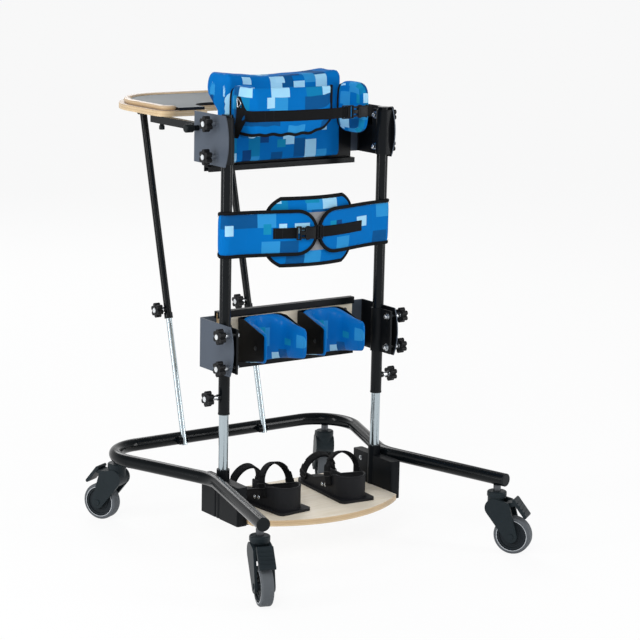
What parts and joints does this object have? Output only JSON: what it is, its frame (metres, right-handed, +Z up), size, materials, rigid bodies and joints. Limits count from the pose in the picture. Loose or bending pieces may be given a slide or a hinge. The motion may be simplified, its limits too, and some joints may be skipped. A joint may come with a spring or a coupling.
{
  "type": "standing frame",
  "caption": "Upright standing frame on braked castors with telescopic uprights, knee cups, pelvic belt, chest support and a tray carried on slanting struts.",
  "frame": {"origin": "on the floor, below the middle of the whole frame", "axes": "+Z up, +Y towards the tray, the way the person faces; +X to the person's right"},
  "size_m": [0.8663, 1.1117, 1.2381],
  "materials": {
    "black_gloss_tube": "gloss powder coat",
    "black_plate": "satin powder coat",
    "black_plastic": "fine grain",
    "zinc_steel": "dark zinc",
    "chrome": "polished",
    "slate_plate": "satin powder coat",
    "dark_aluminium": "dark anodised",
    "birch_ply": "clear lacquer",
    "blue_fabric": "knit cover over foam",
    "black_webbing": "woven webbing",
    "sandal_leather": "smooth",
    "castor_plastic": "moulded",
    "castor_tyre": "grey rubber",
    "knob_plastic": "moulded"
  },
  "bodies": {
    "base": {"base_frame": "black_gloss_tube", "frame_end_caps": "black_plastic", "caster_stems": "zinc_steel", "footplate_hangers": "black_gloss_tube", "upright_inner_tubes": "chrome", "footplate": "birch_ply", "sandals": "sandal_leather", "sandal_straps": "black_webbing", "strut_foot_brackets": "black_gloss_tube"},
    "upper_frame": {"upright_outer_tubes": "black_gloss_tube", "upright_guide_bushes": "black_plastic", "chest_brackets": "slate_plate", "chest_clamp_jaws": "slate_plate", "chest_board": "black_plate", "chest_pad": "blue_fabric", "chest_lateral_pads": "blue_fabric", "chest_belt": "blue_fabric", "chest_strap": "black_webbing", "tray_board": "birch_ply", "tray_rim": "birch_ply", "tray_rails": "black_gloss_tube", "rail_screws": "black_plastic", "strut_top_brackets": "slate_plate"},
    "knee_unit": {"knee_brackets": "slate_plate", "knee_clamp_jaws": "slate_plate", "knee_board": "birch_ply", "knee_board_profiles": "dark_aluminium", "knee_pad_shells": "black_plastic", "knee_pads": "blue_fabric"},
    "pelvic_unit": {"pelvic_belt": "blue_fabric", "pelvic_pad": "blue_fabric", "pelvic_strap": "black_webbing"},
    "strut_rod_pair": {"strut_rods": "chrome"},
    "strut_tube_pair": {"strut_tubes": "black_gloss_tube"},
    "castor_rear_left": {"caster_fork_rear_left": "castor_plastic"},
    "wheel_rear_left": {"caster_wheel_rear_left": "castor_tyre"},
    "pedal_rear_left": {"brake_pedal_rear_left": "castor_plastic"},
    "castor_rear_right": {"caster_fork_rear_right": "castor_plastic"},
    "wheel_rear_right": {"caster_wheel_rear_right": "castor_tyre"},
    "pedal_rear_right": {"brake_pedal_rear_right": "castor_plastic"},
    "castor_front_left": {"caster_fork_front_left": "castor_plastic"},
    "wheel_front_left": {"caster_wheel_front_left": "castor_tyre"},
    "pedal_front_left": {"brake_pedal_front_left": "castor_plastic"},
    "castor_front_right": {"caster_fork_front_right": "castor_plastic"},
    "wheel_front_right": {"caster_wheel_front_right": "castor_tyre"},
    "pedal_front_right": {"brake_pedal_front_right": "castor_plastic"},
    "upright_knob_left": {"upright_knob_left": "knob_plastic"},
    "strut_knob_left": {"strut_knob_left": "knob_plastic"},
    "chest_knob_left_upper": {"chest_knob_left_upper": "knob_plastic"},
    "knee_knob_left_upper": {"knee_knob_left_upper": "knob_plastic"},
    "chest_knob_left_lower": {"chest_knob_left_lower": "knob_plastic"},
    "knee_knob_left_lower": {"knee_knob_left_lower": "knob_plastic"},
    "tray_plunger_left": {"tray_plunger_left": "black_plastic"},
    "upright_knob_right": {"upright_knob_right": "knob_plastic"},
    "strut_knob_right": {"strut_knob_right": "knob_plastic"},
    "chest_knob_right_upper": {"chest_knob_right_upper": "knob_plastic"},
    "knee_knob_right_upper": {"knee_knob_right_upper": "knob_plastic"},
    "chest_knob_right_lower": {"chest_knob_right_lower": "knob_plastic"},
    "knee_knob_right_lower": {"knee_knob_right_lower": "knob_plastic"},
    "tray_plunger_right": {"tray_plunger_right": "black_plastic"}
  },
  "joints": [
    {"name": "castor_swivel_rear_left", "type": "hinge", "parent": "base", "child": "castor_rear_left", "pos_m": [-0.37472, -0.46275, 0.164], "axis": [0, 0, 1], "continuous": true},
    {"name": "wheel_spin_rear_left", "type": "hinge", "parent": "castor_rear_left", "child": "wheel_rear_left", "pos_m": [-0.39114, -0.50785, 0.05], "axis": [0.9397, -0.342, 0], "continuous": true},
    {"name": "brake_press_rear_left", "type": "hinge", "parent": "castor_rear_left", "child": "pedal_rear_left", "pos_m": [-0.38601, -0.49375, 0.132], "axis": [0.9397, -0.342, 0], "range_deg": [0, 12]},
    {"name": "castor_swivel_rear_right", "type": "hinge", "parent": "base", "child": "castor_rear_right", "pos_m": [0.37472, -0.46275, 0.164], "axis": [0, 0, 1], "continuous": true},
    {"name": "wheel_spin_rear_right", "type": "hinge", "parent": "castor_rear_right", "child": "wheel_rear_right", "pos_m": [0.40156, -0.50254, 0.05], "axis": [0.829, 0.5592, 0], "continuous": true},
    {"name": "brake_press_rear_right", "type": "hinge", "parent": "castor_rear_right", "child": "pedal_rear_right", "pos_m": [0.39317, -0.4901, 0.132], "axis": [0.829, 0.5592, 0], "range_deg": [0, 12]},
    {"name": "castor_swivel_front_left", "type": "hinge", "parent": "base", "child": "castor_front_left", "pos_m": [-0.34612, 0.28488, 0.164], "axis": [0, 0, 1], "continuous": true},
    {"name": "wheel_spin_front_left", "type": "hinge", "parent": "castor_front_left", "child": "wheel_front_left", "pos_m": [-0.36866, 0.32726, 0.05], "axis": [-0.8829, -0.4695, 0], "continuous": true},
    {"name": "brake_press_front_left", "type": "hinge", "parent": "castor_front_left", "child": "pedal_front_left", "pos_m": [-0.36162, 0.31402, 0.132], "axis": [-0.8829, -0.4695, 0], "range_deg": [0, 12]},
    {"name": "castor_swivel_front_right", "type": "hinge", "parent": "base", "child": "castor_front_right", "pos_m": [0.34612, 0.28488, 0.164], "axis": [0, 0, 1], "continuous": true},
    {"name": "wheel_spin_front_right", "type": "hinge", "parent": "castor_front_right", "child": "wheel_front_right", "pos_m": [0.36866, 0.32726, 0.05], "axis": [-0.8829, 0.4695, 0], "continuous": true},
    {"name": "brake_press_front_right", "type": "hinge", "parent": "castor_front_right", "child": "pedal_front_right", "pos_m": [0.36162, 0.31402, 0.132], "axis": [-0.8829, 0.4695, 0], "range_deg": [0, 12]},
    {"name": "height_slide", "type": "slide", "parent": "base", "child": "upper_frame", "axis": [0, 0, 1], "range_m": [-0.06, 0.1]},
    {"name": "strut_swing", "type": "hinge", "parent": "base", "child": "strut_rod_pair", "pos_m": [0, 0.28559, 0.1975], "axis": [-1, 0, 0], "range_deg": [-1.69, 1.09]},
    {"name": "strut_extend", "type": "slide", "parent": "strut_rod_pair", "child": "strut_tube_pair", "axis": [0, 0.251, 0.968], "range_m": [-0.0593, 0.0981]},
    {"name": "knee_unit_slide", "type": "slide", "parent": "upper_frame", "child": "knee_unit", "axis": [0, 0, 1], "range_m": [-0.02, 0.06]},
    {"name": "pelvic_belt_slide", "type": "slide", "parent": "upper_frame", "child": "pelvic_unit", "axis": [0, 0, 1], "range_m": [-0.06, 0.045]},
    {"name": "upright_knob_left_turn", "type": "hinge", "parent": "upper_frame", "child": "upright_knob_left", "pos_m": [-0.2633, -0.09191, 0.416], "axis": [-1, 0, 0], "continuous": true},
    {"name": "strut_knob_left_turn", "type": "hinge", "parent": "strut_tube_pair", "child": "strut_knob_left", "pos_m": [-0.133, 0.37797, 0.55372], "axis": [-1, 0, 0], "continuous": true},
    {"name": "chest_knob_left_upper_turn", "type": "hinge", "parent": "upper_frame", "child": "chest_knob_left_upper", "pos_m": [-0.2633, -0.06191, 1.121], "axis": [-1, 0, 0], "continuous": true},
    {"name": "knee_knob_left_upper_turn", "type": "hinge", "parent": "knee_unit", "child": "knee_knob_left_upper", "pos_m": [-0.2633, -0.13791, 0.587], "axis": [-1, 0, 0], "continuous": true},
    {"name": "chest_knob_left_lower_turn", "type": "hinge", "parent": "upper_frame", "child": "chest_knob_left_lower", "pos_m": [-0.2633, -0.06191, 1.037], "axis": [-1, 0, 0], "continuous": true},
    {"name": "knee_knob_left_lower_turn", "type": "hinge", "parent": "knee_unit", "child": "knee_knob_left_lower", "pos_m": [-0.2633, -0.13791, 0.503], "axis": [-1, 0, 0], "continuous": true},
    {"name": "tray_plunger_left_pull", "type": "slide", "parent": "upper_frame", "child": "tray_plunger_left", "axis": [-1, 0, 0], "range_m": [0, 0.008], "stiffness_N_per_m": 600},
    {"name": "upright_knob_right_turn", "type": "hinge", "parent": "upper_frame", "child": "upright_knob_right", "pos_m": [0.2633, -0.09191, 0.416], "axis": [1, 0, 0], "continuous": true},
    {"name": "strut_knob_right_turn", "type": "hinge", "parent": "strut_tube_pair", "child": "strut_knob_right", "pos_m": [0.133, 0.37797, 0.55372], "axis": [-1, 0, 0], "continuous": true},
    {"name": "chest_knob_right_upper_turn", "type": "hinge", "parent": "upper_frame", "child": "chest_knob_right_upper", "pos_m": [0.2633, -0.06191, 1.121], "axis": [1, 0, 0], "continuous": true},
    {"name": "knee_knob_right_upper_turn", "type": "hinge", "parent": "knee_unit", "child": "knee_knob_right_upper", "pos_m": [0.2633, -0.13791, 0.587], "axis": [1, 0, 0], "continuous": true},
    {"name": "chest_knob_right_lower_turn", "type": "hinge", "parent": "upper_frame", "child": "chest_knob_right_lower", "pos_m": [0.2633, -0.06191, 1.037], "axis": [1, 0, 0], "continuous": true},
    {"name": "knee_knob_right_lower_turn", "type": "hinge", "parent": "knee_unit", "child": "knee_knob_right_lower", "pos_m": [0.2633, -0.13791, 0.503], "axis": [1, 0, 0], "continuous": true},
    {"name": "tray_plunger_right_pull", "type": "slide", "parent": "upper_frame", "child": "tray_plunger_right", "axis": [1, 0, 0], "range_m": [0, 0.008], "stiffness_N_per_m": 600}
  ],
  "couplings": [
    {"joint": "strut_swing", "follows": "height_slide", "rad_per_m": -0.26047},
    {"joint": "strut_extend", "follows": "height_slide", "ratio": 0.97106}
  ]
}
